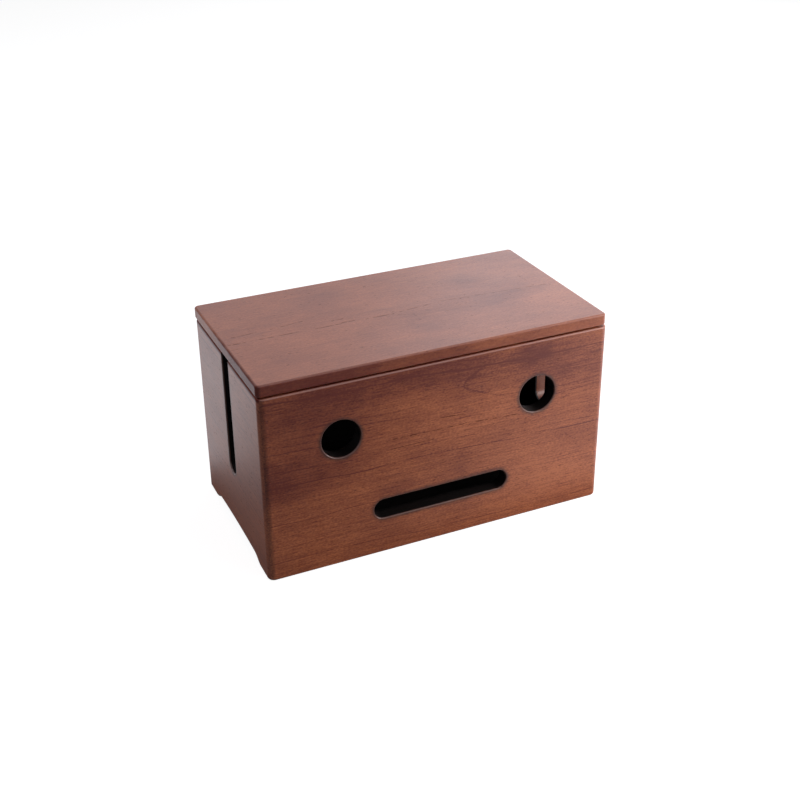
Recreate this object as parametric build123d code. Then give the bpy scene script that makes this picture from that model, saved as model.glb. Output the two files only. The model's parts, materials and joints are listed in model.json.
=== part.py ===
from build123d import *
import math
import os

# Cable management box: a mitred hardwood carcass with a loose, lift-off lid.
# Millimetres, +Z up. X runs along the length and Y from the front (-) to the back (+).
# The origin is the centre of the footprint, on the surface that the box stands on.

# Overall sizes, over the closed lid
overall_length = 240.0
overall_width = 130.0
overall_height = 138.0

# Boards
wall = 10.0
lid_thickness = 9.0
bottom_thickness = 6.0

# The loose lid is cut a little smaller than the box and lies a little to its left
lid_inset = 0.4
lid_shift = 0.8

# Rounding of the outer edges
corner_radius = 4.5
base_edge_radius = 1.6
rim_edge_radius = 1.0
rim_inner_radius = 0.6
lid_corner_radius = 3.0
lid_top_edge_radius = 1.3
lid_under_edge_radius = 1.3
opening_ease = 0.7

# Rebate round the underside of the lid, which leaves a line of shadow above the rim
shadow_gap = 0.9
shadow_gap_depth = 4.0

# Cable openings of the front board
hole_radius = 13.0
hole_spacing = 137.0
hole_drop = 38.0
mouth_length = 95.5
mouth_width = 14.0
mouth_height = 33.0

# Cable slots of the two end boards, open at the rim
slot_width = 13.0
slot_floor = 44.5

# Feet: the underside of each end board, cut to two S-shaped shoulders and a shallow crown
foot_length = 17.0
shoulder_length = 13.0
shoulder_height = 4.1
crown_rise = 0.9
shoulder_pull = 0.45 * shoulder_length

# Groove that holds the bottom board, above the crown of the feet
groove_cover = 5.0
groove_depth = 5.0
groove_play = 0.2
groove_end_play = 0.4

# Stopped splines across the mitres
spline_thickness = 3.0
spline_width = 7.0
spline_cover = 12.0
spline_play = 0.05

# Locating battens across the underside of the lid
batten_width = 14.0
batten_depth = 8.0
batten_ease = 1.0
lid_play = 1.5

# Countersunk wood screws through the battens into the lid
lid_bite = 6.0
screw_radius = 1.5
screw_tip_length = 2.5
screw_tip_radius = 0.3
screw_head_radius = 2.9
screw_head_depth = 1.7
screw_end_distance = 15.0
screw_play = 0.05
cross_length = 3.4
cross_width = 0.8
cross_depth = 1.1

# How far a cutting tool runs past the wood
past = 2.0
tolerance = 1e-3

# Sizes that follow
body_length = overall_length - max(lid_shift - lid_inset, 0)
body_width = overall_width
body_height = overall_height - lid_thickness
body_centre = (overall_length - body_length) / 2
lid_length = body_length - 2 * lid_inset
lid_width = body_width - 2 * lid_inset
lid_centre = body_centre - lid_shift
hole_height = body_height - hole_drop
arch_top = shoulder_height + crown_rise
groove_floor = arch_top + groove_cover
groove_top = groove_floor + bottom_thickness + groove_play
spline_base = groove_top + spline_cover
spline_length = body_height - spline_cover - spline_base
inner_length = body_length - 2 * wall
inner_width = body_width - 2 * wall
batten_length = inner_width - 2 * lid_play
batten_centre = inner_length / 2 - lid_play - batten_width / 2
screw_spread = batten_length / 2 - screw_end_distance
screw_length = batten_depth + lid_bite

STANDING = (Align.CENTER, Align.CENTER, Align.MIN)


def block(length, width, height, base=0.0):
    """A plain block about the Z axis that stands on base."""
    return Pos(0, 0, base) * Box(length, width, height, align=STANDING)


def middle(edge):
    """The centre of the box around an edge, which is a circle's own centre."""
    return edge.center(CenterOf.BOUNDING_BOX)


def arch_cutter():
    """The air under both end boards, as one prism along X."""
    foot_end = body_width / 2 - foot_length
    crown_end = foot_end - shoulder_length
    slope = 2 * math.atan2(crown_rise, crown_end)
    run = shoulder_pull * math.cos(slope)
    climb = shoulder_pull * math.sin(slope)
    outline = Curve()
    for side in (1, -1):
        outline += Bezier(
            (side * foot_end, 0),
            (side * (foot_end - shoulder_pull), 0),
            (side * (crown_end + run), shoulder_height - climb),
            (side * crown_end, shoulder_height),
        )
    outline += ThreePointArc(
        (-crown_end, shoulder_height),
        (0, arch_top),
        (crown_end, shoulder_height),
    )
    outline += Polyline((-foot_end, 0), (-foot_end, -past), (foot_end, -past), (foot_end, 0))
    return extrude(Plane.YZ * make_face(outline), body_length / 2 + past, both=True)


def is_base_edge(edge):
    """Whether an edge of the blank belongs to its outline as seen from below."""
    centre = middle(edge)
    at_side = abs(centre.X) > body_length / 2 - corner_radius
    at_side = at_side or abs(centre.Y) > body_width / 2 - corner_radius
    return at_side and centre.Z < arch_top + tolerance


def blank():
    """The outside of the carcass as a solid block, with its feet and rounded edges."""
    body = block(body_length, body_width, body_height)
    body = fillet(body.edges().filter_by(Axis.Z), corner_radius)
    body -= arch_cutter()
    body = fillet(body.edges().filter_by(is_base_edge), base_edge_radius)
    rim = body.faces().sort_by(Axis.Z)[-1]
    return fillet(rim.edges(), rim_edge_radius)


def spline_at(corner_x, corner_y, play):
    """A spline across the mitre of one corner, grown by play for its slot."""
    centre_x = corner_x * (body_length - wall) / 2
    centre_y = corner_y * (body_width - wall) / 2
    turn = -45 * corner_x * corner_y
    strip = block(
        spline_width + 2 * play,
        spline_thickness + 2 * play,
        spline_length + 2 * play,
        spline_base - play,
    )
    return Pos(centre_x, centre_y, 0) * Rot(0, 0, turn) * strip


def front_cutters():
    """Two round holes and the long rounded slot between them, below."""
    front = Plane.XZ.offset(body_width / 2 - wall / 2)
    sketch = Sketch()
    for side in (-1, 1):
        sketch += Pos(side * hole_spacing / 2, hole_height) * Circle(hole_radius)
    sketch += Pos(0, mouth_height) * SlotOverall(mouth_length, mouth_width)
    return extrude(front * sketch, wall / 2 + past, both=True)


def slot_cutter():
    """The cable slots of both end boards, as one prism along X."""
    slot_top = body_height + past
    arc_centre = slot_floor + slot_width / 2
    sketch = Pos(0, arc_centre) * Circle(slot_width / 2)
    sketch += Pos(0, (arc_centre + slot_top) / 2) * Rectangle(slot_width, slot_top - arc_centre)
    return extrude(Plane.YZ * sketch, body_length / 2 + past, both=True)


def lies_on(value, outer_face):
    """Whether a coordinate is that of the outer or the inner face of a board."""
    return min(abs(value - outer_face), abs(value - outer_face + wall)) < tolerance


def is_opening_edge(edge):
    """Whether an edge of the carcass outlines a cable opening on a face of its board."""
    centre = middle(edge)
    if lies_on(-centre.Y, body_width / 2):
        across = abs(centre.X) < hole_spacing / 2 + hole_radius
        return across and mouth_height - mouth_width < centre.Z < hole_height + hole_radius
    if lies_on(abs(centre.X), body_length / 2):
        across = abs(centre.Y) < slot_width / 2 + tolerance
        return across and slot_floor - tolerance < centre.Z < body_height - rim_edge_radius
    return False


def carcass():
    """The four boards in one piece, with every groove and opening."""
    body = blank()
    body -= block(inner_length, inner_width, body_height + 2 * past, -past)
    rim = body.faces().sort_by(Axis.Z)[-1]
    body = fillet(rim.inner_wires().edges(), rim_inner_radius)
    body -= block(
        inner_length + 2 * groove_depth,
        inner_width + 2 * groove_depth,
        groove_top - groove_floor,
        groove_floor,
    )
    for corner_x in (-1, 1):
        for corner_y in (-1, 1):
            body -= spline_at(corner_x, corner_y, spline_play)
    body -= front_cutters()
    body -= slot_cutter()
    return fillet(body.edges().filter_by(is_opening_edge), opening_ease)


def mitre_wedge(side_x, side_y):
    """The space of one board, bounded by the two 45-degree mitres at its ends."""
    out_x = body_length / 2 + past
    out_y = body_width / 2 + past
    reach = wall + past
    if side_y:
        corners = [
            (-out_x, side_y * out_y),
            (out_x, side_y * out_y),
            (out_x - reach, side_y * (out_y - reach)),
            (-out_x + reach, side_y * (out_y - reach)),
        ]
    else:
        corners = [
            (side_x * out_x, -out_y),
            (side_x * out_x, out_y),
            (side_x * (out_x - reach), out_y - reach),
            (side_x * (out_x - reach), -out_y + reach),
        ]
    face = make_face(Polyline(*corners, close=True))
    return extrude(Pos(0, 0, -past) * face, body_height + 2 * past)


def bottom_board():
    """A thin board that lies on the lower cheek of the groove on all four sides."""
    length = inner_length + 2 * (groove_depth - groove_end_play)
    width = inner_width + 2 * (groove_depth - groove_end_play)
    return block(length, width, bottom_thickness, groove_floor)


def screw_at(centre_x, centre_y, play):
    """A countersunk wood screw pointing up, grown by play for its hole."""
    head_base = body_height - batten_depth
    neck = head_base + screw_head_depth
    shank_end = head_base + screw_length - screw_tip_length
    tip = head_base + screw_length
    outline = Polyline(
        (0, head_base),
        (screw_head_radius + play, head_base),
        (screw_radius + play, neck),
        (screw_radius + play, shank_end),
        (screw_tip_radius + play, tip + play),
        (0, tip + play),
        close=True,
    )
    screw = revolve(Plane.XZ * make_face(outline), Axis.Z)
    return Pos(centre_x, centre_y, 0) * screw


def screw_places():
    """The centres of the four screws, two in each batten."""
    return [(side * batten_centre, end * screw_spread) for side in (-1, 1) for end in (-1, 1)]


def lid_board():
    """The flat lid with a rebate round its underside and pilot holes for the screws."""
    lid = block(lid_length, lid_width, lid_thickness - shadow_gap, body_height + shadow_gap)
    lid = fillet(lid.edges().filter_by(Axis.Z), lid_corner_radius)
    lid = fillet(lid.faces().sort_by(Axis.Z)[-1].edges(), lid_top_edge_radius)
    lid = fillet(lid.faces().sort_by(Axis.Z)[0].edges(), lid_under_edge_radius)
    lid += block(
        lid_length - 2 * shadow_gap_depth,
        lid_width - 2 * shadow_gap_depth,
        lid_thickness / 2,
        body_height,
    )
    for place in screw_places():
        lid -= screw_at(*place, screw_play)
    return lid


def lid_batten(side):
    """A strip across the lid that drops inside one end board."""
    strip = block(batten_width, batten_length, batten_depth, body_height - batten_depth)
    strip = fillet(strip.faces().sort_by(Axis.Z)[0].edges(), batten_ease)
    strip = Pos(side * batten_centre, 0, 0) * strip
    for place in screw_places():
        strip -= screw_at(*place, screw_play)
    return strip


def lid_batten_screws():
    """Four cross-headed screws, with their heads flush in the battens."""
    cross = block(cross_length, cross_width, cross_depth, body_height - batten_depth)
    cross += block(cross_width, cross_length, cross_depth, body_height - batten_depth)
    screws = []
    for centre_x, centre_y in screw_places():
        screws.append(screw_at(centre_x, centre_y, 0) - Pos(centre_x, centre_y, 0) * cross)
    return Compound(screws)


def box_parts():
    """The pieces that stand still, about the middle of the box."""
    body = carcass()
    parts = {
        "front_panel": body & mitre_wedge(0, -1),
        "back_panel": body & mitre_wedge(0, 1),
        "left_side_panel": body & mitre_wedge(-1, 0),
        "right_side_panel": body & mitre_wedge(1, 0),
        "bottom_board": bottom_board(),
    }
    for name_y, corner_y in (("front", -1), ("back", 1)):
        for name_x, corner_x in (("left", -1), ("right", 1)):
            parts[f"corner_spline_{name_y}_{name_x}"] = spline_at(corner_x, corner_y, 0)
    return parts


def lid_parts():
    """The pieces that lift off, about the middle of the lid."""
    return {
        "lid_board": lid_board(),
        "lid_batten_left": lid_batten(-1),
        "lid_batten_right": lid_batten(1),
        "lid_batten_screws": lid_batten_screws(),
    }


def all_parts():
    """Every piece of the closed box by the name of its node."""
    parts = {}
    for group, centre in ((box_parts(), body_centre), (lid_parts(), lid_centre)):
        for name, shape in group.items():
            parts[name] = Pos(centre, 0, 0) * shape
    return parts


def main():
    """Write one STEP file for each piece."""
    os.makedirs("parts", exist_ok=True)
    for name, shape in all_parts().items():
        shape.label = name
        export_step(shape, f"parts/{name}.step")


main()
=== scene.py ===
"""The looks of a wooden cable management box: stained boards, black insides, screws and studio."""

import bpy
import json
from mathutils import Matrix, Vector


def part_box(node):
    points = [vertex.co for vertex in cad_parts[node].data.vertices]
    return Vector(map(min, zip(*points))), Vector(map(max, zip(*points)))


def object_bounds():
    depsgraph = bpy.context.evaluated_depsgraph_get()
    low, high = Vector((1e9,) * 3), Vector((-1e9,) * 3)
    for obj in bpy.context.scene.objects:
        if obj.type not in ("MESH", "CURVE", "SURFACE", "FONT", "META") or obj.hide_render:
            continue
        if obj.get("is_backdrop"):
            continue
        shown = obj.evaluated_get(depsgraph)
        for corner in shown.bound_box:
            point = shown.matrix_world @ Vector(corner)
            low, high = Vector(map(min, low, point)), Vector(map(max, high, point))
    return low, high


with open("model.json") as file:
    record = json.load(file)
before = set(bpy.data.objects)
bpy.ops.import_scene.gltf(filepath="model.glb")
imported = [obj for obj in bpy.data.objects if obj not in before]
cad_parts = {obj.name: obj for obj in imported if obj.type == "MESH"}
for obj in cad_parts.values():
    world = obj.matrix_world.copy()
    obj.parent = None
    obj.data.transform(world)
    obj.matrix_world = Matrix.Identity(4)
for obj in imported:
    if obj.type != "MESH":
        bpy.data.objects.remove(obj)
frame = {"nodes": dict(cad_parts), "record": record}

import inspect
import json
import math
from dataclasses import dataclass

import bpy
from mathutils import Matrix, Vector

bl_info = {
    "name": "Cable Box Looks",
    "version": (1, 0, 0),
    "blender": (4, 5, 0),
    "location": "3D View > Sidebar > Cable Box",
    "description": "Wood stain, lacquer, screws and studio for a cable management box",
    "category": "Material",
}

CAD_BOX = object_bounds()

# The frame's own places, in metres
FRONT_LOW, FRONT_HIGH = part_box("front_panel")
BACK_LOW, BACK_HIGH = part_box("back_panel")
LEFT_LOW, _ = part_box("left_side_panel")
_, RIGHT_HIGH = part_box("right_side_panel")
LID_LOW, LID_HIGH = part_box("lid_board")
_, BOTTOM_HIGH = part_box("bottom_board")
CARCASS_LOW = Vector((LEFT_LOW.x, FRONT_LOW.y, FRONT_LOW.z))
CARCASS_HIGH = Vector((RIGHT_HIGH.x, BACK_HIGH.y, FRONT_HIGH.z))
CARCASS_SIZE = CARCASS_HIGH - CARCASS_LOW

X_AXIS = Vector((1, 0, 0))
Y_AXIS = Vector((0, 1, 0))
Z_AXIS = Vector((0, 0, 1))
ORIGIN = (0.0, 0.0, 0.0)
WHITE = (1.0, 1.0, 1.0)

# Shaders work in millimetres, because wood grain is thought of in millimetres
MM_PER_M = 1000.0
RIM = FRONT_HIGH.z * MM_PER_M
WALL = (BACK_HIGH.y - BACK_LOW.y) * MM_PER_M

# A reach, in millimetres, that goes right through a board or past its ends
FAR = 1000.0

# The openings, in millimetres: the long slot below the holes of the front board, the slots of the
# end boards, each placed along its own board, and the rounding of every opening's edge
MOUTH_PLACE = ((LEFT_LOW.x + RIGHT_HIGH.x) / 2 * MM_PER_M, 33.0, 0.0)
MOUTH_HALF_STRAIGHT = 40.75
MOUTH_RADIUS = 7.0
LEFT_SLOT_ALONG = (LEFT_LOW.x + FRONT_LOW.y) * MM_PER_M
RIGHT_SLOT_ALONG = (RIGHT_HIGH.x - FRONT_LOW.y) * MM_PER_M
SLOT_MIDDLE = 101.0
SLOT_HALF_STRAIGHT = 50.0
SLOT_RADIUS = 6.5
EASE = 0.7

# The four boards were cut one after the other from one plank, so that the grain runs round the
# corners. Each has the point where its grain is counted from, and its directions along and into it.
CARCASS_START = {
    "front_panel": (Vector((0, CARCASS_LOW.y, 0)), X_AXIS, Y_AXIS),
    "right_side_panel": (
        Vector((CARCASS_HIGH.x, CARCASS_LOW.y - CARCASS_HIGH.x, 0)),
        Y_AXIS,
        -X_AXIS,
    ),
    "left_side_panel": (
        Vector((CARCASS_LOW.x, CARCASS_LOW.y + CARCASS_LOW.x, 0)),
        -Y_AXIS,
        X_AXIS,
    ),
    "back_panel": (
        Vector((2 * CARCASS_HIGH.x + CARCASS_SIZE.y, CARCASS_HIGH.y, 0)),
        -X_AXIS,
        -Y_AXIS,
    ),
}

# Soft noises: the sizes of their blobs along, across and into a board in millimetres, or in years
# for those of years, how many finer noises lie on them, and how far they are shifted
NOISES = {
    "slow wave": ((95, 34, 34), 1, ORIGIN),
    "quick wave": ((24, 5, 5), 2, (7, 3, 0)),
    "uneven years": ((2.6, 1, 1), 1, ORIGIN),
    "tone of years": ((1.3, 1, 1), 1, (30, 0, 0)),
    "fading rings": ((42, 8, 8), 1, (0, 50, 0)),
    "fibres": ((8, 0.45, 0.45), 2, ORIGIN),
    "dashes": ((9, 0.6, 0.6), 2, (0, 9, 4)),
    "streaks": ((60, 1, 1), 2, (0, 20, 11)),
    "patches of pores": ((30, 12, 12), 1, ORIGIN),
    "swaying hook": ((7, 4, 4), 2, ORIGIN),
    "wide clouds": ((52, 34, 34), 2, ORIGIN),
    "near clouds": ((15, 9, 9), 2, (40, 0, 9)),
    "mottle": ((1.7, 1, 1), 2, (0, 17, 3)),
    "ragged spray": ((7, 6, 6), 2, ORIGIN),
    "ragged spot": ((14, 6, 6), 2, ORIGIN),
    "swaying line": ((9, 30, 30), 1, ORIGIN),
    "line of dashes": ((4.5, 2, 50), 2, ORIGIN),
    "rubbed lacquer": ((60, 24, 24), 3, ORIGIN),
    "orange peel": ((1.6, 1.1, 1.1), 2, ORIGIN),
    "edge of paint": ((3, 3, 3), 2, ORIGIN),
    "patchy wear": ((9, 9, 9), 3, ORIGIN),
    "turning marks": ((0.12, 1, 1), 3, ORIGIN),
    "spangle": ((1.2, 1.2, 1.2), 2, ORIGIN),
}

# Growth rings: how far quick waves bend them, how uneven the years are, the shares of a year at
# which late wood starts and is darkest, and how much it fades along the board
QUICK_WAVES = 0.22
UNEVEN_YEARS = 0.9
LATE_WOOD_START = 0.72
LATE_WOOD_PEAK = 0.94
RING_FADING = 0.8

# Open pores: the cell that each lies in, in millimetres, its edge in shares of the cell, and how
# patchy they are
PORE_CELL = (5.5, 0.8, 0.8)
PORE_EDGE = (0.10, 0.30)
PORE_PATCHINESS = 0.25

# The hooked ring: how far it sways, its edge in shares of its width, and the heights above and
# below its tip over which it fades
HOOK_SWAY = 1.6
HOOK_EDGE = (0.2, 1.0)
HOOK_FADE = (8.0, 18.0)

# Spray, spots and lines: how ragged they are, and where their soft edges lie
SPRAY_RAGGEDNESS = 1.2
SPOT_RAGGEDNESS = 0.18
SPOT_EDGE = (0.15, 1.0)
LINE_EDGE = (0.4, 1.4)
DASH_EDGE = (-0.25, 0.08)

# Soft edges in millimetres: of rounded arrises, and of the paint's depth, lower and upper end,
# and how far its depth wobbles
ARRIS_EDGE = (-0.1, 0.15)
PAINT_EDGE = (-0.2, 0.25)
PAINT_LOWER_EDGE = (0.0, 0.5)
PAINT_UPPER_EDGE = (0.0, 0.4)
PAINT_WOBBLE = 0.12

# How far below the rim the paint ends, how far it reaches into the mitres, both in millimetres,
# and how much grain shows through it
PAINT_BELOW_RIM = 0.8
PAINT_INTO_MITRE = 2.0
PAINT_GRAIN = 0.3

# How much each kind of grain adds to the uptake of stain, and the uptake that would hide it all
NEAR_CLOUD_WEIGHT = 0.4
MOTTLE_WEIGHT = 0.50
DASH_WEIGHT = 0.34
FIBRE_WEIGHT = 0.22
HOOK_WEIGHT = 0.34
HIDING_UPTAKE = 1.45

# How strongly marks show: open pores, rubbed edges of openings, and worn outer edges, which are
# also lighter as a painted highlight
PORE_DARKNESS = 0.75
OPENING_WEAR = 0.09
EDGE_WEAR = 0.2
WORN_LIGHTNESS = 0.5
WEAR_PATCHINESS = 0.5
WEAR_EDGE = (0.2, 1.0)

# Lacquer: the shine of a full film, how much pores and paint dull it, what rubbing, fibres and
# pores add to its roughness, the height of fibres and orange peel, and that of the bump in metres
FULL_SHINE = 0.5
PORE_DULLNESS = 0.7
PAINT_DULLNESS = 0.6
PAINT_ROUGHNESS = 0.1
RUBBED_ROUGHNESS = 0.035
FIBRE_ROUGHNESS = 0.03
PORE_ROUGHNESS = 0.15
FIBRE_HEIGHT = 0.35
PEEL_HEIGHT = 0.25
LACQUER_BUMP = 0.00006
BARE_WOOD_BUMP = 0.00008
SCREW_BUMP = 0.00001

# The floor: half its size in metres, how brightly it shows to the camera, and in the lacquer its
# colour, how far out from the box it reaches that, and between which sums of x and y it brightens
# towards the back right. That glow in the lacquer is painted light, and its fall near the box a
# painted shadow. The surround has a colour of its own in the lacquer.
FLOOR_REACH = 6.0
FLOOR_SEEN = 0.87
FLOOR_GLOW = (0.81, 0.81, 0.86)
FLOOR_GLOW_REACH = 0.045
FLOOR_GLOW_RISE = (-0.20, 0.05)
MIRRORED_SURROUND = (0.98, 1.0, 1.08)

# The lamps: place and size in metres, power in watts and colour. All face one point.
LAMP_AIM = (0.0, 0.0, 0.07)
COOL = (0.97, 0.97, 1.05)
LAMPS = {
    "back lamp": ((1.32, 0.86, 0.97), (2.0, 1.4), 9.2, COOL),
    "side lamp": ((-0.90, 0.70, 0.90), (0.8, 0.6), 5.0, COOL),
    "top lamp": ((0.10, 0.20, 1.35), (1.2, 1.2), 1.2, WHITE),
    "front lamp": ((0.41, -0.28, 0.22), (0.30, 0.30), 2.0, WHITE),
    "rim lamp": ((0.45, -0.55, 0.85), (0.8, 0.5), 1.8, WHITE),
}


# ---- settings


class StainSettings(bpy.types.PropertyGroup):
    """The walnut stain and satin lacquer of the outer boards."""

    light: bpy.props.FloatVectorProperty(
        name="Light",
        description="Colour where the wood took little stain",
        subtype="COLOR",
        default=(0.460, 0.136, 0.054),
    )
    deep: bpy.props.FloatVectorProperty(
        name="Deep",
        description="Colour where the wood took much stain",
        subtype="COLOR",
        default=(0.128, 0.019, 0.011),
    )
    pore: bpy.props.FloatVectorProperty(
        name="Pores",
        description="Colour of the open pores and of the dashed lines that they make",
        subtype="COLOR",
        default=(0.034, 0.011, 0.009),
    )
    # Rubbed arrises are sanded lighter, and their colour also paints a highlight on them
    rubbed: bpy.props.FloatVectorProperty(
        name="Rubbed arrises",
        description="Colour of the sharp edges, where sanding took the stain off and a highlight is painted",
        subtype="COLOR",
        default=(0.52, 0.29, 0.25),
    )
    ring_width: bpy.props.FloatProperty(
        name="Ring width",
        description="Distance between growth rings",
        unit="LENGTH",
        default=0.0038,
    )
    roughness: bpy.props.FloatProperty(
        name="Roughness",
        description="Roughness of the satin lacquer",
        subtype="FACTOR",
        default=0.30,
    )


class BlackSettings(bpy.types.PropertyGroup):
    """The black stain of the insides, the bottom board and the battens."""

    colour: bpy.props.FloatVectorProperty(
        name="Colour",
        description="Colour of the black stain",
        subtype="COLOR",
        default=(0.0045, 0.0040, 0.0040),
    )
    grain: bpy.props.FloatVectorProperty(
        name="Grain",
        description="Colour of the wood that shows faintly through the black",
        subtype="COLOR",
        default=(0.014, 0.0085, 0.0080),
    )


class StudioSettings(bpy.types.PropertyGroup):
    """The camera, the floor and the light from all round."""

    camera_place: bpy.props.FloatVectorProperty(
        name="Camera place",
        description="Where the camera stands",
        subtype="TRANSLATION",
        unit="LENGTH",
        default=(-0.30247, -0.67261, 0.46577),
    )
    heading: bpy.props.FloatProperty(
        name="Heading",
        description="Turn of the camera from the Y axis towards X",
        subtype="ANGLE",
        default=math.radians(23.99),
    )
    dip: bpy.props.FloatProperty(
        name="Dip",
        description="Slope of the camera below the horizon",
        subtype="ANGLE",
        default=math.radians(26.59),
    )
    roll: bpy.props.FloatProperty(
        name="Roll",
        description="Turn of the camera about its own axis",
        subtype="ANGLE",
        default=math.radians(-0.705),
    )
    lens: bpy.props.FloatProperty(
        name="Focal length",
        description="Focal length on a 36 mm sensor, in millimetres",
        subtype="DISTANCE_CAMERA",
        default=55.41,
    )
    shift: bpy.props.FloatVectorProperty(
        name="Shift",
        description="Shift of the picture in the camera, as a share of its width",
        size=2,
        default=(0.0063, -0.0425),
    )
    floor_colour: bpy.props.FloatVectorProperty(
        name="Floor",
        description="Colour of the floor",
        subtype="COLOR",
        default=(0.42, 0.42, 0.42),
    )
    ambient: bpy.props.FloatProperty(
        name="Ambient light",
        description="Strength of the light that comes from all round",
        default=0.12,
    )


# ---- shader tools


class Bench:
    """Adds nodes to one shader tree, wired as they are made."""

    def __init__(self, tree):
        self.tree = tree

    def fill(self, socket, value):
        """Wires an output to a socket, or sets the socket's own value."""
        if isinstance(value, bpy.types.NodeSocket):
            self.tree.links.new(value, socket)
        else:
            socket.default_value = value

    def add(self, kind, inputs=None, **settings):
        """A node with its settings made and the named inputs filled."""
        node = self.tree.nodes.new(kind)
        for name, value in settings.items():
            setattr(node, name, value)
        for name, value in (inputs or {}).items():
            self.fill(node.inputs[name], value)
        return node

    def add_in_order(self, kind, values, **settings):
        """The outputs of a node whose inputs are filled in order."""
        node = self.add(kind, **settings)
        for socket, value in zip(node.inputs, values):
            self.fill(socket, value)
        return node.outputs

    def math(self, operation, *values, clamp=False):
        """A sum on numbers."""
        return self.add_in_order("ShaderNodeMath", values, operation=operation, use_clamp=clamp)[0]

    def minus(self, first, second):
        """The difference of two numbers."""
        return self.math("SUBTRACT", first, second)

    def times(self, first, second):
        """The product of two numbers."""
        return self.math("MULTIPLY", first, second)

    def weigh(self, value, weight, rest, clamp=False):
        """A number times its weight, plus the rest."""
        return self.math("MULTIPLY_ADD", value, weight, rest, clamp=clamp)

    def vector(self, operation, *values):
        """A sum on vectors that gives a vector."""
        return self.add_in_order("ShaderNodeVectorMath", values, operation=operation)["Vector"]

    def measure(self, operation, *values):
        """A sum on vectors that gives a number."""
        return self.add_in_order("ShaderNodeVectorMath", values, operation=operation)["Value"]

    def in_mm(self, position):
        """A position in metres, in millimetres."""
        return self.vector("MULTIPLY", position, (MM_PER_M,) * 3)

    def offset(self, place, middle):
        """How far a place lies from a middle in each direction, without sign."""
        return self.vector("ABSOLUTE", self.vector("SUBTRACT", place, middle))

    def outside(self, place, middle, half_size):
        """How far a place lies outside a block about a middle."""
        past = self.vector("SUBTRACT", self.offset(place, middle), half_size)
        return self.measure("LENGTH", self.vector("MAXIMUM", past, ORIGIN))

    def split(self, vector):
        """The three numbers of a vector."""
        return self.add("ShaderNodeSeparateXYZ", {"Vector": vector}).outputs[:]

    def join(self, x=0.0, y=0.0, z=0.0):
        """A vector of three numbers."""
        return self.add("ShaderNodeCombineXYZ", {"X": x, "Y": y, "Z": z}).outputs[0]

    def rise(self, value, start, end, low=0.0, high=1.0):
        """Low before start, high after end, and a smooth change between."""
        node = self.add("ShaderNodeMapRange", interpolation_type="SMOOTHSTEP")
        names = ("Value", "From Min", "From Max", "To Min", "To Max")
        for name, number in zip(names, (value, start, end, low, high)):
            self.fill(node.inputs[name], number)
        return node.outputs["Result"]

    def fall(self, value, start, end):
        """1 before start, 0 after end, and a smooth fall between."""
        return self.rise(value, start, end, 1.0, 0.0)

    def noise(self, place, kind):
        """Soft noise about zero, from -1 to 1."""
        sizes, detail, shift = NOISES[kind]
        shrunk = self.vector("DIVIDE", self.vector("ADD", place, shift), sizes)
        inputs = {"Vector": shrunk, "Scale": 1.0, "Detail": detail}
        return self.weigh(self.add("ShaderNodeTexNoise", inputs).outputs["Fac"], 2.0, -1.0)

    def mix(self, share, first, second):
        """A mix of two colours."""
        node = self.add("ShaderNodeMix", data_type="RGBA")
        self.fill(node.inputs[0], share)
        for index, colour in ((6, first), (7, second)):
            if not isinstance(colour, bpy.types.NodeSocket):
                colour = (*colour, 1.0)
            self.fill(node.inputs[index], colour)
        return node.outputs[2]

    def use(self, group, **inputs):
        """The outputs of an effect whose inputs are filled."""
        named = {label(name): value for name, value in inputs.items()}
        return self.add("ShaderNodeGroup", named, node_tree=group()).outputs


def label(name):
    """The label that a group or a socket takes from a name in this file."""
    return name.replace("_", " ").title()


def effect(work_out):
    """Makes a function the recipe of a shader node group, which is built when first used.

    The group's inputs are the function's parameters after the bench, with their defaults, and its
    outputs are the values that the function gives by name.
    """

    def group():
        name = label(work_out.__name__)
        return bpy.data.node_groups.get(name) or build_group(name, work_out)

    return group


def build_group(name, work_out):
    """The shader node group of one effect."""
    tree = bpy.data.node_groups.new(name, "ShaderNodeTree")
    inputs = list(inspect.signature(work_out).parameters.values())[1:]
    for item in inputs:
        socket = new_socket(tree, item.name, "INPUT", isinstance(item.default, tuple))
        socket.default_value = item.default
    bench = Bench(tree)
    given = tree.nodes.new("NodeGroupInput").outputs
    results = work_out(bench, *(given[label(item.name)] for item in inputs))
    for name, value in results.items():
        new_socket(tree, name, "OUTPUT", value.type == "VECTOR")
    bench.add("NodeGroupOutput", results)
    return tree


def new_socket(tree, name, in_out, is_vector):
    """A socket of a group, for a vector or a number."""
    kind = "NodeSocketVector" if is_vector else "NodeSocketFloat"
    return tree.interface.new_socket(label(name), in_out=in_out, socket_type=kind)


# ---- shared effects


@effect
def board_place(bench, position=ORIGIN, start=ORIGIN, along=ORIGIN, across=ORIGIN, into=ORIGIN):
    """Where a point lies in its board: along the grain, across it, and in from the outer face."""
    local = bench.vector("SUBTRACT", bench.in_mm(position), start)
    parts = [bench.measure("DOT_PRODUCT", local, axis) for axis in (along, across, into)]
    return {"Place": bench.join(*parts)}


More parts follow.
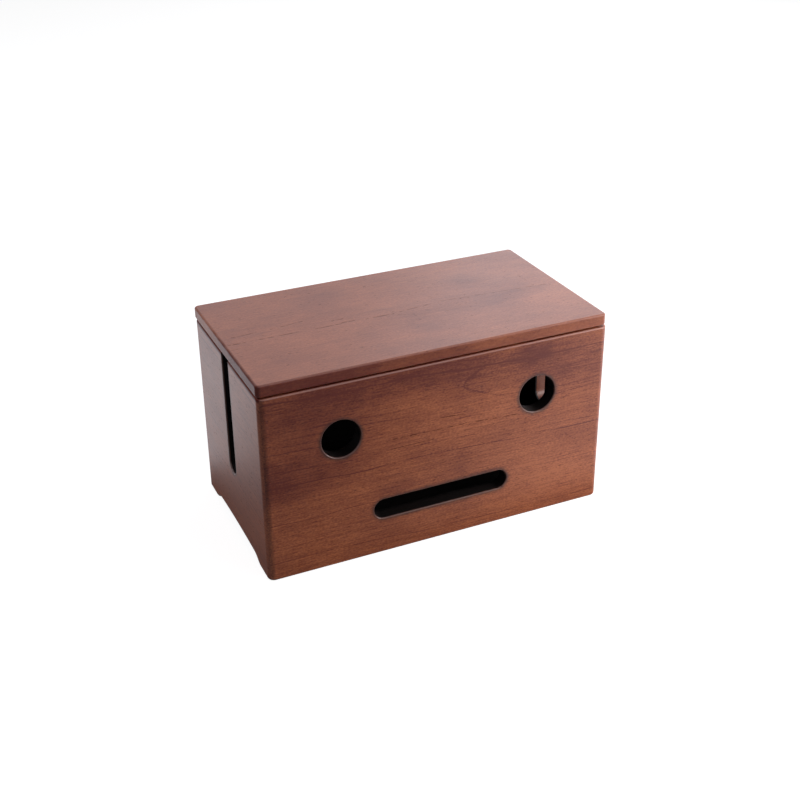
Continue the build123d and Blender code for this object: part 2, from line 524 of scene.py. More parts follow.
@effect
def wood_figure(
    bench,
    place=ORIGIN,
    pith_across=0.0,
    pith_into=60.0,
    lean=0.0,
    ring_width=3.8,
    wander=3.0,
    pore_share=0.2,
):
    """Growth rings about a leaning pith, fibres along the board and short open pores."""
    along, across, into = bench.split(place)

    # Rings, as distance from the pith
    off = bench.join(bench.minus(across, pith_across), bench.minus(into, pith_into))
    leaning = bench.weigh(along, lean, bench.measure("LENGTH", off))
    slow = bench.noise(place, "slow wave")
    waves = bench.weigh(bench.noise(place, "quick wave"), QUICK_WAVES, slow)
    wandering = bench.weigh(waves, wander, leaning)

    # Good and bad years: rings of uneven width, tone and strength
    count = bench.math("DIVIDE", wandering, ring_width)
    count = bench.weigh(bench.noise(bench.join(count), "uneven years"), UNEVEN_YEARS, count)
    year = bench.math("FLOOR", count)
    own = bench.add("ShaderNodeTexWhiteNoise", {"W": year}, noise_dimensions="1D").outputs["Value"]
    fading = bench.noise(place, "fading rings")
    strength = bench.weigh(fading, RING_FADING, bench.times(own, own))
    share = bench.math("FRACT", count)
    rise = bench.rise(share, LATE_WOOD_START, LATE_WOOD_PEAK)
    fall = bench.fall(share, LATE_WOOD_PEAK, 1.0)
    line = bench.times(bench.times(rise, fall), strength)

    # Pores are long thin cells, most of them left closed
    shrunk = bench.vector("DIVIDE", place, PORE_CELL)
    cells = bench.add("ShaderNodeTexVoronoi", {"Vector": shrunk, "Scale": 1.0}).outputs
    chance = bench.weigh(bench.noise(place, "patches of pores"), PORE_PATCHINESS, pore_share)
    is_open = bench.math("LESS_THAN", bench.split(cells["Color"])[0], chance)
    return {
        "Late Wood": bench.math("MAXIMUM", line, 0.0),
        "Band": bench.noise(bench.join(count), "tone of years"),
        "Fibre": bench.noise(place, "fibres"),
        "Dash": bench.noise(place, "dashes"),
        "Streak": bench.noise(place, "streaks"),
        "Pores": bench.times(bench.fall(cells["Distance"], *PORE_EDGE), is_open),
    }


@effect
def ring_hook(bench, place=ORIGIN, tip=ORIGIN, depth=12.0, spread=4.8, shear=0.35, width=1.1):
    """A growth ring that comes to the face as one hook, open towards the end of the board."""
    along, across, _ = bench.split(bench.vector("SUBTRACT", place, tip))
    along = bench.weigh(bench.noise(place, "swaying hook"), HOOK_SWAY, along)
    along = bench.weigh(across, shear, along)

    # The hook is a hyperbola. A point's gap to it is its offset along, over the curve's steepness.
    climb = bench.math("DIVIDE", across, spread)
    root = bench.math("SQRT", bench.weigh(climb, climb, 1.0))
    off = bench.minus(along, bench.times(bench.minus(root, 1.0), depth))
    slope = bench.math("DIVIDE", bench.times(climb, depth), bench.times(spread, root))
    steep = bench.math("SQRT", bench.weigh(slope, slope, 1.0))
    gap = bench.math("DIVIDE", bench.math("ABSOLUTE", off), bench.times(steep, width))
    fade = bench.fall(bench.math("ABSOLUTE", across), *HOOK_FADE)
    return {"Hook": bench.times(bench.fall(gap, *HOOK_EDGE), fade)}


@effect
def stain_cloud(bench, place=ORIGIN):
    """Uneven uptake of stain: wide clouds, drawn out along the grain, and fine mottle."""
    wide = bench.noise(place, "wide clouds")
    cloud = bench.weigh(bench.noise(place, "near clouds"), NEAR_CLOUD_WEIGHT, wide)
    return {"Cloud": cloud, "Mottle": bench.noise(place, "mottle")}


@effect
def overspray(
    bench, place=ORIGIN, middle=ORIGIN, half_straight=(0.0, 0.0, FAR), radius=7.0, spread=4.5
):
    """Black spray that strayed round an opening, and the opening's rounded edge."""
    gap = bench.minus(bench.outside(place, middle, half_straight), radius)
    past_ease = bench.minus(bench.math("MAXIMUM", gap, bench.split(place)[2]), EASE)
    gap = bench.weigh(bench.noise(place, "ragged spray"), SPRAY_RAGGEDNESS, gap)
    spray = bench.fall(bench.math("DIVIDE", gap, spread), 0.0, 1.0)
    return {"Spray": spray, "Arris": bench.fall(past_ease, *ARRIS_EDGE)}


@effect
def rim_arris(bench, place=ORIGIN, rim=129.0, radius=1.0):
    """1 on the rounded outer edge of the rim."""
    _, height, depth = bench.split(place)
    off = bench.math("MAXIMUM", bench.minus(rim, height), depth)
    return {"Arris": bench.fall(bench.minus(off, radius), *ARRIS_EDGE)}


@effect
def soft_spot(bench, place=ORIGIN, middle=ORIGIN, reach=(10.0, 10.0, FAR)):
    """One soft round or oval spot on a board: 1 in its middle, 0 outside."""
    off = bench.vector("DIVIDE", bench.vector("SUBTRACT", place, middle), reach)
    ragged = bench.noise(place, "ragged spot")
    off = bench.weigh(ragged, SPOT_RAGGEDNESS, bench.measure("LENGTH", off))
    return {"Spot": bench.fall(off, *SPOT_EDGE)}


@effect
def pore_line(bench, place=ORIGIN, start=ORIGIN, end=(10.0, 0.0, 0.0), width=0.5):
    """A line of dashes between two points of a face, where a band of vessels was cut open."""
    along, across, _ = bench.split(place)
    run = bench.vector("SUBTRACT", end, start)
    off = bench.vector("SUBTRACT", bench.join(along, across), start)
    done, whole = (bench.measure("DOT_PRODUCT", way, run) for way in (off, run))
    share = bench.math("DIVIDE", done, whole, clamp=True)
    near = bench.vector("MULTIPLY", run, bench.join(share, share, share))
    gap = bench.measure("LENGTH", bench.vector("SUBTRACT", off, near))
    gap = bench.weigh(bench.noise(place, "swaying line"), width, gap)
    edges = [bench.times(width, part) for part in LINE_EDGE]
    line = bench.fall(bench.math("ABSOLUTE", gap), *edges)
    dash = bench.rise(bench.noise(place, "line of dashes"), *DASH_EDGE)
    return {"Line": bench.times(line, dash)}


@effect
def satin_lacquer(bench, place=ORIGIN, fibre=0.0, pores=0.0, roughness=0.36):
    """Roughness and height of thin satin lacquer over open grain."""
    rough = bench.weigh(bench.noise(place, "rubbed lacquer"), RUBBED_ROUGHNESS, roughness)
    rough = bench.weigh(fibre, FIBRE_ROUGHNESS, rough)
    peel = bench.times(bench.noise(place, "orange peel"), PEEL_HEIGHT)
    height = bench.minus(bench.weigh(fibre, FIBRE_HEIGHT, peel), pores)
    return {"Roughness": bench.weigh(pores, PORE_ROUGHNESS, rough), "Height": height}


@effect
def inside_paint(
    bench,
    place=ORIGIN,
    first_depth=0.8,
    lower_end=2.0,
    upper_end=128.0,
    middle=0.0,
    half_length=100.0,
):
    """1 on the faces that the black stain covers: the inner face and the walls of openings."""
    along, height, depth = bench.split(place)
    deep = bench.minus(depth, first_depth)
    deep = bench.weigh(bench.noise(place, "edge of paint"), PAINT_WOBBLE, deep)
    above = bench.rise(bench.minus(height, lower_end), *PAINT_LOWER_EDGE)
    below = bench.rise(bench.minus(upper_end, height), *PAINT_UPPER_EDGE)
    off_middle = bench.math("ABSOLUTE", bench.minus(along, middle))
    inward = bench.math("LESS_THAN", off_middle, half_length)
    paint = bench.times(bench.rise(deep, *PAINT_EDGE), bench.times(above, below))
    return {"Paint": bench.times(paint, inward)}


@effect
def arris_wear(bench, position=ORIGIN, middle=ORIGIN, half_size=(1.0, 1.0, 1.0), reach=1.2):
    """1 on the rounded outer edges of a block with these half sizes about its middle: wear and a
    painted highlight.
    """
    scaled = bench.in_mm(position)
    gaps = bench.vector("SUBTRACT", half_size, bench.offset(scaled, middle))
    x, y, z = bench.split(gaps)

    # A point lies on an edge where the second smallest of its gaps to the faces is small
    least = bench.math("MINIMUM", x, bench.math("MINIMUM", y, z))
    most = bench.math("MAXIMUM", x, bench.math("MAXIMUM", y, z))
    total = bench.math("ADD", x, bench.math("ADD", y, z))
    second = bench.minus(total, bench.math("ADD", least, most))
    second = bench.weigh(bench.noise(scaled, "patchy wear"), WEAR_PATCHINESS, second)
    return {"Wear": bench.fall(bench.math("DIVIDE", second, reach), *WEAR_EDGE)}


# ---- materials


def clear_bench(holder):
    """The bench of a material or a world, cleared of the nodes it starts with."""
    holder.use_nodes = True
    holder.node_tree.nodes.clear()
    return Bench(holder.node_tree)


def new_material(name):
    """An empty node material, its bench and its Principled shader."""
    material = bpy.data.materials.new(name)
    bench = clear_bench(material)
    shader = bench.add("ShaderNodeBsdfPrincipled")
    bench.add("ShaderNodeOutputMaterial", {"Surface": shader.outputs["BSDF"]})
    return material, bench, shader


def dress(node_name, material):
    """Puts a material on every face of a CAD node."""
    for slot in frame["nodes"][node_name].material_slots:
        slot.material = material


def in_mm(point):
    """A point in metres as a tuple in millimetres, as sockets take it."""
    return tuple(Vector(point) * MM_PER_M)


def place_in_board(bench, start, along, across, into):
    """The object coordinates, and the place in a board whose outer face holds start."""
    position = bench.add("ShaderNodeTexCoord").outputs["Object"]
    axes = {"along": tuple(along), "across": tuple(across), "into": tuple(into)}
    return position, bench.use(board_place, position=position, start=in_mm(start), **axes)["Place"]


def bump(bench, shader, height, distance):
    """Feeds a height, in shares of a distance in metres, to a shader's normal."""
    node = bench.add("ShaderNodeBump", {"Height": height, "Distance": distance, "Strength": 1.0})
    bench.fill(shader.inputs["Normal"], node.outputs["Normal"])


def lacquer(bench, shader, place, fibre, pores, roughness):
    """Covers a board with satin lacquer."""
    finish = bench.use(satin_lacquer, place=place, fibre=fibre, pores=pores, roughness=roughness)
    bench.fill(shader.inputs["Roughness"], finish["Roughness"])
    bump(bench, shader, finish["Height"], LACQUER_BUMP)


def spot(along, across, long, wide, strength, depth=0.0, deep=FAR):
    """The middle, the reach and the strength of a soft spot, in millimetres in its board."""
    return (along, across, depth), (long, wide, deep), strength


@dataclass
class Board:
    """How one stained board was sawn and stained. All but its start is in millimetres."""

    # Start, along, across and into, and for a board of the box its middle and half its length
    placing: tuple
    span: tuple = None
    # The growth rings and the grain
    pith_across: float = 190.0
    pith_into: float = 70.0
    lean: float = 0.0
    wander: float = 3.0
    ring_depth: float = 0.5
    pores: float = 0.20
    fine: float = 0.7
    streak: float = 0.20
    band: float = 0.16
    # The tip of a hooked ring, and pore lines: the start, end and width of each
    hook: tuple = None
    lines: tuple = ()
    line_depth: float = 1.0
    # The uptake of stain, spots of more or less stain, some of which paint shade and light, and
    # spots where the lacquer's shine differs
    stain: float = 0.42
    cloud: float = 0.32
    dark_spots: tuple = ()
    light_spots: tuple = ()
    dull_spots: tuple = ()
    # Openings: the middle, half straight length and radius of each, and the spray round them
    openings: tuple = ()
    spray: float = 0.8
    # How much the rim's arris is rubbed lighter, partly as a painted highlight
    rim_wear: float = 0.32
    # The depth where the black stain starts, and its lower end
    paint: tuple = None


def weighed_spot(bench, place, middle, reach, strength):
    """The mask of one spot, times its strength."""
    return bench.times(
        bench.use(soft_spot, place=place, middle=middle, reach=reach)["Spot"], strength
    )


def stain_uptake(bench, board, place, figure):
    """How much stain the wood took, from 0 to 1; some of its dark and light spots paint shade and
    light.
    """
    clouds = bench.use(stain_cloud, place=place)
    uptake = bench.weigh(clouds["Cloud"], board.cloud, board.stain)
    for operation, spots in (("ADD", board.dark_spots), ("SUBTRACT", board.light_spots)):
        for one in spots:
            uptake = bench.math(operation, uptake, weighed_spot(bench, place, *one))

    # The grain shows less where the wood is full of stain
    grain = bench.times(clouds["Mottle"], MOTTLE_WEIGHT * board.fine)
    grain = bench.weigh(figure["Band"], board.band, grain)
    grain = bench.weigh(figure["Streak"], board.streak, grain)
    grain = bench.weigh(figure["Dash"], DASH_WEIGHT * board.fine, grain)
    grain = bench.weigh(figure["Fibre"], FIBRE_WEIGHT, grain)
    if board.hook:
        hook = bench.use(ring_hook, place=place, tip=(*board.hook, 0.0))["Hook"]
        grain = bench.weigh(hook, HOOK_WEIGHT, grain)
    uptake = bench.weigh(grain, bench.minus(HIDING_UPTAKE, uptake), uptake)
    return bench.weigh(figure["Late Wood"], board.ring_depth, uptake, clamp=True)


def mark_edges(bench, board, place, colour):
    """A box board's colour: stray spray round its openings, and edges rubbed lighter, partly a
    painted highlight.
    """
    settings = bpy.context.scene.cable_box
    # The rim's arris and the edges of openings are rubbed lighter, partly as a painted highlight
    rubbed = bench.times(bench.use(rim_arris, place=place, rim=RIM)["Arris"], board.rim_wear)
    for middle, half_straight, radius in board.openings:
        near = bench.use(
            overspray, place=place, middle=middle, half_straight=half_straight, radius=radius
        )
        spray = bench.times(bench.times(near["Spray"], near["Spray"]), board.spray)
        colour = bench.mix(spray, colour, settings.black.grain)
        rubbed = bench.math("MAXIMUM", rubbed, bench.times(near["Arris"], OPENING_WEAR))
    return bench.mix(rubbed, colour, settings.stain.rubbed)


def paint_black(bench, board, place, figure, colour):
    """The mask of a box board's black stain, and the board's colour with it."""
    black = bpy.context.scene.cable_box.black
    first_depth, lower_end = board.paint
    middle, half_length = board.span
    paint = bench.use(
        inside_paint,
        place=place,
        first_depth=first_depth,
        lower_end=lower_end,
        upper_end=RIM - PAINT_BELOW_RIM,
        middle=middle,
        half_length=half_length - WALL + PAINT_INTO_MITRE,
    )["Paint"]
    through = bench.weigh(figure["Streak"], 0.5, PAINT_GRAIN, clamp=True)
    return paint, bench.mix(paint, colour, bench.mix(through, black.colour, black.grain))


def stained_board_material(name, board, half_size, middle):
    """Walnut-stained rubberwood under satin lacquer, with black where the board has paint."""
    looks = bpy.context.scene.cable_box.stain
    material, bench, shader = new_material(name)
    position, place = place_in_board(bench, *board.placing)
    figure = bench.use(
        wood_figure,
        place=place,
        pith_across=board.pith_across,
        pith_into=board.pith_into,
        lean=board.lean,
        ring_width=looks.ring_width * MM_PER_M,
        wander=board.wander,
        pore_share=board.pores,
    )
    colour = bench.mix(stain_uptake(bench, board, place, figure), looks.light, looks.deep)
    if board.span:
        colour = mark_edges(bench, board, place, colour)

    # Open pores, and the outer edges where use wore the stain a little
    pores = figure["Pores"]
    for start, end, width in board.lines:
        line = bench.use(
            pore_line, place=place, start=(*start, 0.0), end=(*end, 0.0), width=width
        )["Line"]
        pores = bench.math("MAXIMUM", pores, bench.times(line, board.line_depth))
    # Open pores, and the outer edges where use wore the stain a little, lighter also as a painted
    # highlight
    colour = bench.mix(bench.times(pores, PORE_DARKNESS), colour, looks.pore)
    wear = bench.use(
        arris_wear, position=position, middle=in_mm(middle), half_size=in_mm(half_size)
    )["Wear"]
    worn = bench.mix(WORN_LIGHTNESS, colour, looks.light)
    colour = bench.mix(bench.times(wear, EDGE_WEAR), colour, worn)

    roughness = looks.roughness
    dull = bench.times(pores, PORE_DULLNESS)
    if board.paint:
        paint, colour = paint_black(bench, board, place, figure, colour)
        roughness = bench.weigh(paint, PAINT_ROUGHNESS, roughness)
        dull = bench.math("MAXIMUM", dull, bench.times(paint, PAINT_DULLNESS))
    for one in board.dull_spots:
        dull = bench.math("MAXIMUM", dull, weighed_spot(bench, place, *one))
    bench.fill(shader.inputs["Base Color"], colour)
    bench.fill(shader.inputs["Specular IOR Level"], bench.weigh(dull, -FULL_SHINE, FULL_SHINE))
    lacquer(bench, shader, place, figure["Fibre"], pores, roughness)
    return material


def black_board_material(name, start, along, across, into, roughness):
    """Black-stained rubberwood under satin lacquer."""
    black = bpy.context.scene.cable_box.black
    material, bench, shader = new_material(name)
    _, place = place_in_board(bench, start, along, across, into)
    figure = bench.use(wood_figure, place=place, pith_into=90.0)
    through = bench.weigh(figure["Late Wood"], -0.5, 0.5)
    through = bench.weigh(figure["Streak"], 0.5, through, clamp=True)
    bench.fill(shader.inputs["Base Color"], bench.mix(through, black.colour, black.grain))
    lacquer(bench, shader, place, figure["Fibre"], figure["Pores"], roughness)
    return material


def bare_wood_material(name):
    """Bare rubberwood, as it comes from the saw."""
    pale, brown, dark = (0.62, 0.44, 0.27), (0.42, 0.25, 0.13), (0.2, 0.11, 0.06)
    material, bench, shader = new_material(name)
    _, place = place_in_board(bench, ORIGIN, Z_AXIS, X_AXIS, Y_AXIS)
    figure = bench.use(wood_figure, place=place, pith_into=90.0, ring_width=1.6)
    share = bench.weigh(figure["Late Wood"], 0.5, 0.2)
    share = bench.weigh(figure["Fibre"], 0.3, share, clamp=True)
    colour = bench.mix(share, pale, brown)
    colour = bench.mix(bench.times(figure["Pores"], 0.6), colour, dark)
    bench.fill(shader.inputs["Base Color"], colour)
    bench.fill(shader.inputs["Roughness"], bench.weigh(figure["Fibre"], 0.08, 0.66))
    bump(bench, shader, bench.minus(figure["Fibre"], figure["Pores"]), BARE_WOOD_BUMP)
    return material


def screw_material(name):
    """Zinc-plated steel, turned about the axis of each screw."""
    dark, bright = (0.42, 0.42, 0.43), (0.66, 0.65, 0.62)
    material, bench, shader = new_material(name)
    scaled = bench.in_mm(bench.add("ShaderNodeTexCoord").outputs["Object"])
    off = bench.vector("SUBTRACT", bench.vector("ABSOLUTE", scaled), in_mm(screw_corner()))
    x, y, _ = bench.split(off)
    radius = bench.measure("LENGTH", bench.join(x, y))
    turned = bench.noise(bench.join(radius), "turning marks")
    spangle = bench.noise(scaled, "spangle")
    tone = bench.weigh(turned, 0.2, 0.5)
    tone = bench.weigh(spangle, 0.25, tone, clamp=True)
    bench.fill(shader.inputs["Base Color"], bench.mix(tone, dark, bright))
    shader.inputs["Metallic"].default_value = 1.0
    rough = bench.weigh(spangle, 0.08, bench.weigh(turned, 0.10, 0.34))
    bench.fill(shader.inputs["Roughness"], rough)
    bump(bench, shader, turned, SCREW_BUMP)
    return material


def screw_corner():
    """The axis of the screw in the back right corner, which the others mirror."""
    vertices = frame["nodes"]["lid_batten_screws"].data.vertices
    own = [vertex.co for vertex in vertices if vertex.co.x > 0 and vertex.co.y > 0]
    x, y, _ = ((min(numbers) + max(numbers)) / 2 for numbers in zip(*own))
    return x, y, 0.0


def finish_carcass_board(node_name, **own):
    """Stains one board of the box, whose grain lies level."""
    start, along, into = CARCASS_START[node_name]
    ends = sorted((corner - start).dot(along) * MM_PER_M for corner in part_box(node_name))
    span = ((ends[0] + ends[1]) / 2, (ends[1] - ends[0]) / 2)
    board = Board((start, along, Z_AXIS, into), span, **own)
    middle = (CARCASS_LOW + CARCASS_HIGH) / 2
    material = stained_board_material(f"stained {node_name}", board, CARCASS_SIZE / 2, middle)
    dress(node_name, material)


# ---- the studio


def add_object(name, data):
    """An object of the scene that holds this data."""
    item = bpy.data.objects.new(name, data)
    bpy.context.scene.collection.objects.link(item)
    return item


def camera_axes(heading, dip, roll):
    """Right, up and back of a camera with these angles."""
    level_share = math.cos(dip)
    forward = Vector(
        (math.sin(heading) * level_share, math.cos(heading) * level_share, -math.sin(dip))
    )
    level = Vector((math.cos(heading), -math.sin(heading), 0))
    right = level * math.cos(roll) + level.cross(forward) * math.sin(roll)
    return right, right.cross(forward), -forward


def add_camera(studio):
    """The camera, at the object's own view."""
    data = bpy.data.cameras.new("camera")
    camera = add_object("camera", data)
    turn = Matrix(camera_axes(studio.heading, studio.dip, studio.roll)).transposed().to_4x4()
    camera.matrix_world = Matrix.Translation(studio.camera_place) @ turn
    data.sensor_width = 36.0
    data.lens = studio.lens
    data.shift_x, data.shift_y = studio.shift
    data.clip_start = 0.01
    bpy.context.scene.camera = camera


def add_lamp(name, place, size, power, colour):
    """A soft rectangular lamp that faces the box."""
    data = bpy.data.lights.new(name, "AREA")
    data.shape = "RECTANGLE"
    data.size, data.size_y = size
    data.energy = power
    data.color = colour
    lamp = add_object(name, data)
    lamp.location = place
    lamp.rotation_euler = (Vector(LAMP_AIM) - Vector(place)).to_track_quat("-Z", "Y").to_euler()


def floor_material(colour):
    """A pale floor, white to the camera, that glows in the lacquer with painted light and shadow.
    """
    material = bpy.data.materials.new("floor")
    bench = clear_bench(material)
    matt = bench.add("ShaderNodeBsdfDiffuse", {"Color": (*colour, 1.0)})
    rays = bench.add("ShaderNodeLightPath").outputs
    place = bench.add("ShaderNodeTexCoord").outputs["Object"]
    # Painted light in the lacquer: it fades near the box as a painted shadow and brightens towards
    # the back right
    away = bench.outside(place, ORIGIN, tuple(CARCASS_SIZE / 2))
    away = bench.rise(away, 0.0, FLOOR_GLOW_REACH)
    lit = bench.rise(bench.measure("DOT_PRODUCT", place, (1.0, 1.0, 0.0)), *FLOOR_GLOW_RISE)
    mirrored = bench.times(rays["Is Glossy Ray"], bench.times(away, lit))
    seen = bench.times(rays["Is Camera Ray"], FLOOR_SEEN)
    tint = bench.mix(rays["Is Camera Ray"], FLOOR_GLOW, WHITE)
    strength = bench.math("MAXIMUM", seen, mirrored)
    glow = bench.add("ShaderNodeEmission", {"Color": tint, "Strength": strength})
    both = bench.add_in_order("ShaderNodeAddShader", (matt.outputs[0], glow.outputs[0]))[0]
    bench.add("ShaderNodeOutputMaterial", {"Surface": both})
    return material


def add_floor(colour):
    """A level floor, far larger than the object."""
    sides = ((-1, -1), (1, -1), (1, 1), (-1, 1))
    corners = [(x * FLOOR_REACH, y * FLOOR_REACH, 0) for x, y in sides]
    mesh = bpy.data.meshes.new("floor")
    mesh.from_pydata(corners, [], [(0, 1, 2, 3)])
    mesh.materials.append(floor_material(colour))
    floor = add_object("floor", mesh)
    floor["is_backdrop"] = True


def light_world(ambient):
    """A white surround that lights at a plain level."""
    world = bpy.data.worlds.new("surround")
    bench = clear_bench(world)
    rays = bench.add("ShaderNodeLightPath").outputs
    seen = bench.math("MAXIMUM", rays["Is Camera Ray"], rays["Is Transmission Ray"])
    seen = bench.math("MAXIMUM", seen, rays["Is Glossy Ray"])
    strength = bench.weigh(seen, 1.0 - ambient, ambient)
    tint = bench.mix(rays["Is Glossy Ray"], WHITE, MIRRORED_SURROUND)
    background = bench.add("ShaderNodeBackground", {"Color": tint, "Strength": strength})
    bench.add("ShaderNodeOutputWorld", {"Surface": background.outputs[0]})
    bpy.context.scene.world = world


# ---- operators


class CABLE_BOX_OT_finish_front(bpy.types.Operator):
    """Stain the front board, black in its holes and mouth"""

    bl_idname = "cable_box.finish_front"
    bl_label = "Finish front board"

    def execute(self, context):
        openings = []
        for mount in frame["record"]["mounts"]:
            if mount["kind"] == "bore":
                x, _, z = in_mm(mount["pos_m"])
                openings.append(((x, z, 0.0), (0.0, 0.0, FAR), mount["dims"]["r_mm"]))
        openings.append((MOUTH_PLACE, (MOUTH_HALF_STRAIGHT, 0.0, FAR), MOUTH_RADIUS))
        finish_carcass_board(
            "front_panel",
            lean=-0.02,
            wander=4.0,
            ring_depth=0.66,
            fine=1.35,
            streak=0.30,
            hook=(15.5, 108.6),
            lines=(
                ((-34.0, 82.3), (22.0, 81.4), 0.3),
                ((22.0, 81.4), (54.0, 79.4), 0.3),
                ((-40.0, 75.3), (-6.0, 75.6), 0.25),
                ((-1.0, 89.8), (16.0, 88.6), 0.3),
            ),
            # Uneven stain, and painted shade: darker along the top under the lid and towards the
            # left end
            dark_spots=(
                spot(66, 120, 20, 13, 0.17),
                spot(96, 112, 70, 30, 0.30),
                spot(-96, 114, 84, 42, 0.36),
                spot(0, 126, 110, 24, 0.44),
                spot(-104, 72, 70, 24, 0.46),
                spot(-34, 48, 26, 9, 0.22),
                spot(15, 54, 9, 14, 0.16),
                spot(112, 92, 14, 46, 0.14),
                spot(24, 108, 40, 14, 0.16),
            ),
            # Uneven stain, and painted light: lighter towards the lower right and the lower left
            light_spots=(
                spot(70, 24, 70, 34, 0.26),
                spot(-80, 18, 50, 20, 0.16),
                spot(24, 84, 60, 18, 0.14),
            ),
            openings=tuple(openings),
            paint=(0.9, 2.0),
        )
        return {"FINISHED"}


class CABLE_BOX_OT_finish_back(bpy.types.Operator):
    """Stain the back board"""

    bl_idname = "cable_box.finish_back"
    bl_label = "Finish back board"

    def execute(self, context):
        finish_carcass_board("back_panel", wander=4.0, ring_depth=0.42, paint=(WALL - 0.5, 2.0))
        return {"FINISHED"}


class CABLE_BOX_OT_finish_sides(bpy.types.Operator):
    """Stain the two end boards"""

    bl_idname = "cable_box.finish_sides"
    bl_label = "Finish end boards"

    def execute(self, context):
        slot = ((0.0, SLOT_HALF_STRAIGHT, FAR), SLOT_RADIUS)
        # Painted shadow: a dark, dull line just below the rim of the left end board, under the
        # lid's edge
        rim = (0.0, RIM - 0.7, FAR, 2.8)
        finish_carcass_board(
            "left_side_panel",
            stain=0.52,
            dark_spots=(spot(*rim, 0.9, deep=3.6),),
            dull_spots=(spot(*rim, 0.95, deep=3.6),),
            openings=(((LEFT_SLOT_ALONG, SLOT_MIDDLE, 0.0), *slot),),
            rim_wear=0.0,
            paint=(0.9, 6.5),
        )
        # Darker and duller on the far wall of the right slot
        slot_wall = (RIGHT_SLOT_ALONG, 70.0, 9.0, 60.0)
        finish_carcass_board(
            "right_side_panel",
            dark_spots=(spot(*slot_wall, 0.45),),
            dull_spots=(spot(*slot_wall, 0.85),),
            openings=(((RIGHT_SLOT_ALONG, SLOT_MIDDLE, 0.0), *slot),),
            spray=0.5,
            paint=(WALL - 1.6, 6.5),
        )
        return {"FINISHED"}


class CABLE_BOX_OT_finish_lid(bpy.types.Operator):
    """Stain the lid"""

    bl_idname = "cable_box.finish_lid"
    bl_label = "Finish lid"

    def execute(self, context):
        board = Board(
            (Vector((0, 0, LID_HIGH.z)), X_AXIS, Y_AXIS, -Z_AXIS),
            pith_across=-12.0,
            pith_into=75.0,
            lean=0.01,
            ring_depth=0.14,
            pores=0.09,
            streak=0.08,
            band=0.09,
            lines=(
                ((-118.0, -4.7), (-70.0, -4.6), 0.65),
                ((-60.0, -5.0), (-42.0, -4.4), 0.5),
                ((-41.0, -3.6), (-33.0, -3.4), 0.85),
                ((-25.0, -4.6), (-6.0, -4.8), 0.6),
                ((-2.0, -3.8), (22.0, -1.2), 0.55),
                ((-112.0, 5.4), (-96.0, 6.0), 0.55),
                ((-86.0, 6.8), (-64.0, 9.6), 0.6),
                ((-118.0, -12.0), (-113.0, -11.6), 0.5),
                ((-46.0, 1.8), (-39.0, 2.2), 0.65),
                ((30.0, 0.2), (112.0, -5.0), 0.3),
                ((-4.0, -8.0), (8.0, -12.0), 0.4),
            ),
            line_depth=0.65,
            stain=0.38,
            dark_spots=(
                spot(-42, 44, 30, 22, 0.22),
                spot(64, 26, 26, 18, 0.16),
                spot(56, 0, 60, 38, 0.12),
                spot(6, -32, 30, 16, 0.16),
                spot(-14, -54, 56, 16, 0.16, deep=5),
                spot(-86, -38, 24, 16, 0.12),
                # Painted shade along the lid's front edge, darkest at the left
                spot(0, -65, FAR, 2.4, 0.18),
                spot(-96, -65, 150, 2.4, 0.40),
                spot(-120.4, -50, 2.4, 100, 0.7),
            ),
            light_spots=(spot(104.0, -26.0, 40.0, 30.0, 0.16),),
            dull_spots=(
                spot(-120.4, 0, 2.4, 400, 0.7),
                spot(-120.4, -50, 2.4, 400, 0.95, depth=0.5, deep=4.5),
            ),
        )
        half_size, middle = (LID_HIGH - LID_LOW) / 2, (LID_LOW + LID_HIGH) / 2
        dress("lid_board", stained_board_material("stained lid_board", board, half_size, middle))
        return {"FINISHED"}


class CABLE_BOX_OT_finish_black_parts(bpy.types.Operator):
    """Stain the bottom board and the two battens black"""

    bl_idname = "cable_box.finish_black_parts"
    bl_label = "Finish black parts"

    def execute(self, context):
        top = (0, 0, BOTTOM_HIGH.z)
        material = black_board_material("black bottom_board", top, X_AXIS, Y_AXIS, -Z_AXIS, 0.42)
        dress("bottom_board", material)
        for node_name in ("lid_batten_left", "lid_batten_right"):
            low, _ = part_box(node_name)
            material = black_board_material(f"black {node_name}", low, Y_AXIS, X_AXIS, Z_AXIS, 0.45)
            dress(node_name, material)
        return {"FINISHED"}


class CABLE_BOX_OT_finish_splines(bpy.types.Operator):
    """Leave the four mitre splines bare"""

    bl_idname = "cable_box.finish_splines"
    bl_label = "Finish splines"

    def execute(self, context):
        material = bare_wood_material("bare rubberwood")
        for node_name in frame["nodes"]:
            if node_name.startswith("corner_spline"):
                dress(node_name, material)
        return {"FINISHED"}


class CABLE_BOX_OT_finish_screws(bpy.types.Operator):
    """Plate the screws"""

    bl_idname = "cable_box.finish_screws"
    bl_label = "Finish screws"

    def execute(self, context):
        dress("lid_batten_screws", screw_material("zinc-plated steel"))
        return {"FINISHED"}


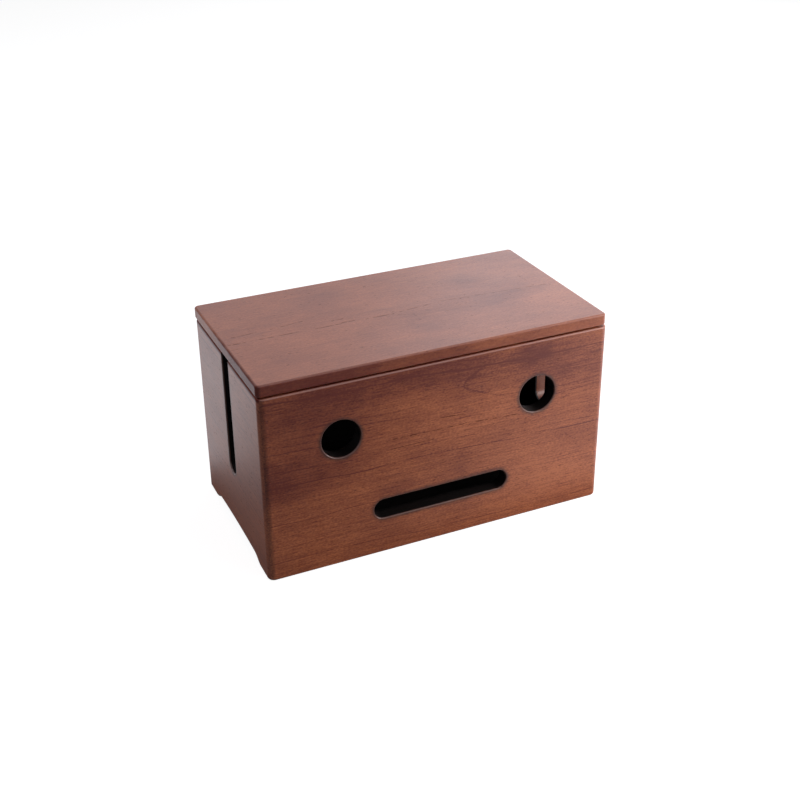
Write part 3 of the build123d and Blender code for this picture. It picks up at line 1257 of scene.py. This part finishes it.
class CABLE_BOX_OT_build_studio(bpy.types.Operator):
    """Set up the floor, the lamps and the camera"""

    bl_idname = "cable_box.build_studio"
    bl_label = "Build studio"

    def execute(self, context):
        studio = context.scene.cable_box.studio
        add_floor(studio.floor_colour)
        light_world(studio.ambient)
        for name, lamp in LAMPS.items():
            add_lamp(name, *lamp)
        add_camera(studio)
        context.scene.view_settings.view_transform = "Standard"
        return {"FINISHED"}


# ---- the panel and registration


class CableBoxSettings(bpy.types.PropertyGroup):
    """Every setting of the box's looks."""

    stain: bpy.props.PointerProperty(
        name="Stain", description="Outer boards", type=StainSettings
    )
    black: bpy.props.PointerProperty(
        name="Black", description="Insides", type=BlackSettings
    )
    studio: bpy.props.PointerProperty(
        name="Studio", description="Camera, floor and surround", type=StudioSettings
    )


OPERATORS = (
    CABLE_BOX_OT_finish_front,
    CABLE_BOX_OT_finish_back,
    CABLE_BOX_OT_finish_sides,
    CABLE_BOX_OT_finish_lid,
    CABLE_BOX_OT_finish_black_parts,
    CABLE_BOX_OT_finish_splines,
    CABLE_BOX_OT_finish_screws,
    CABLE_BOX_OT_build_studio,
)


class CABLE_BOX_PT_sidebar(bpy.types.Panel):
    """The box's looks, piece by piece"""

    bl_label = "Cable Box"
    bl_space_type = "VIEW_3D"
    bl_region_type = "UI"
    bl_category = "Cable Box"

    def draw(self, context):
        settings = context.scene.cable_box
        for group in (settings.stain, settings.black, settings.studio):
            box = self.layout.box()
            for name in group.__annotations__:
                box.prop(group, name)
        for operator in OPERATORS:
            self.layout.operator(operator.bl_idname)


CLASSES = (
    StainSettings,
    BlackSettings,
    StudioSettings,
    CableBoxSettings,
    *OPERATORS,
    CABLE_BOX_PT_sidebar,
)


def register():
    """Adds the settings, the operators and the panel."""
    for item in CLASSES:
        bpy.utils.register_class(item)
    bpy.types.Scene.cable_box = bpy.props.PointerProperty(type=CableBoxSettings)


def unregister():
    """Takes them away again."""
    del bpy.types.Scene.cable_box
    for item in reversed(CLASSES):
        bpy.utils.unregister_class(item)


def write_size_file():
    """Works out the CAD box and the visual model's box."""
    boxes = {"cad": CAD_BOX, "visual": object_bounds()}


def main():
    register()
    for operator in OPERATORS:
        getattr(bpy.ops.cable_box, operator.bl_idname.split(".")[1])()
    write_size_file()


if __name__ == "__main__":
    main()
